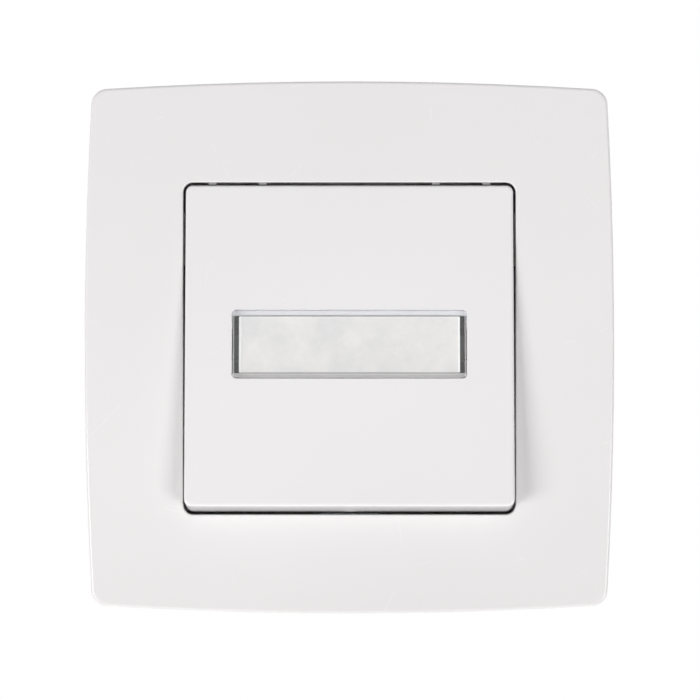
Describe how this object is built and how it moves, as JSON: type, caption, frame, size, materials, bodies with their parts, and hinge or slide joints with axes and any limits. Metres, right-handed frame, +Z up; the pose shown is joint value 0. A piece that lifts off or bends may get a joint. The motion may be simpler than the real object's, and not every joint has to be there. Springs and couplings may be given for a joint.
{
  "type": "illuminated push button switch",
  "caption": "Flush wall push button switch with a tilting key, a backlit clear label window, a cover frame, a steel support plate, claws and a spring-return contact block.",
  "frame": {"origin": "midway between the two box screws, on the rear face of the support plate, which is the wall surface", "axes": "+X to the right seen from the front, +Y into the wall, +Z up; the button's face looks towards -Y"},
  "size_m": [0.084, 0.0364, 0.0844],
  "materials": {
    "frame_white": "glossy moulded white polycarbonate",
    "button_white": "glossy moulded white polycarbonate",
    "clear_window": "clear moulded polycarbonate",
    "card_paper": "matt white paper card",
    "opal_plastic": "opal diffusing plastic",
    "ring_grey": "light grey moulded polyamide",
    "mechanism_grey": "dark grey moulded polyamide",
    "housing_plastic": "off-white moulded urea resin",
    "zinc_steel": "pressed steel, bright zinc plated",
    "screw_steel": "turned steel, bright zinc plated",
    "contact_brass": "pressed brass",
    "contact_silver": "silver contact alloy",
    "spring_steel": "drawn spring wire",
    "lamp_glass": "clear glass bulb",
    "resistor_body": "lacquered ceramic",
    "plunger_plastic": "natural acetal"
  },
  "bodies": {
    "switch_base": {"cover_frame": "frame_white", "clip_ring": "ring_grey", "support_plate": "zinc_steel", "base_housing": "housing_plastic", "mechanism_cover": "mechanism_grey", "housing_rivets": "screw_steel", "terminal_left": "contact_brass", "terminal_right": "contact_brass", "terminal_clamps": "zinc_steel", "terminal_screws": "screw_steel", "fixed_contact_tips": "contact_silver", "lamp_holder": "mechanism_grey", "lamp": "lamp_glass", "lamp_resistor": "resistor_body", "lamp_leads": "contact_brass", "lamp_contacts": "contact_brass", "claw_screws": "screw_steel", "return_spring": "spring_steel"},
    "button": {"push_button": "button_white", "label_window": "clear_window", "label_card": "card_paper", "label_tray": "opal_plastic", "rocker_cradle": "mechanism_grey"},
    "plunger_set": {"plunger": "plunger_plastic", "contact_spring": "spring_steel", "contact_bridge": "contact_brass", "bridge_contact_tips": "contact_silver"},
    "left_claw": {"claw_left": "zinc_steel"},
    "right_claw": {"claw_right": "zinc_steel"},
    "left_claw_nut": {"claw_nut_left": "screw_steel"},
    "right_claw_nut": {"claw_nut_right": "screw_steel"}
  },
  "joints": [
    {"name": "button_press", "type": "hinge", "parent": "switch_base", "child": "button", "pos_m": [0, -0.005, 0], "axis": [1, 0, 0], "range_deg": [0, 5], "stiffness_Nm_per_rad": 0.6, "springref_deg": -2.69},
    {"name": "plunger_slide", "type": "slide", "parent": "switch_base", "child": "plunger_set", "axis": [0, 1, 0], "range_m": [0, 0.00125], "deforming": ["return_spring"]},
    {"name": "claw_left_spread", "type": "hinge", "parent": "switch_base", "child": "left_claw", "pos_m": [-0.0212, 0.0045, -0.01], "axis": [0, 0, 1], "range_deg": [0, 28]},
    {"name": "claw_nut_left_slide", "type": "slide", "parent": "switch_base", "child": "left_claw_nut", "axis": [0, -1, 0], "range_m": [0, 0.0017]},
    {"name": "claw_right_spread", "type": "hinge", "parent": "switch_base", "child": "right_claw", "pos_m": [0.0212, 0.0045, -0.01], "axis": [0, 0, -1], "range_deg": [0, 28]},
    {"name": "claw_nut_right_slide", "type": "slide", "parent": "switch_base", "child": "right_claw_nut", "axis": [0, -1, 0], "range_m": [0, 0.0017]}
  ],
  "couplings": [
    {"joint": "plunger_slide", "follows": "button_press", "m_per_rad": 0.013982},
    {"joint": "claw_nut_left_slide", "follows": "claw_left_spread", "m_per_rad": 0.003367},
    {"joint": "claw_nut_right_slide", "follows": "claw_right_spread", "m_per_rad": 0.003367}
  ]
}
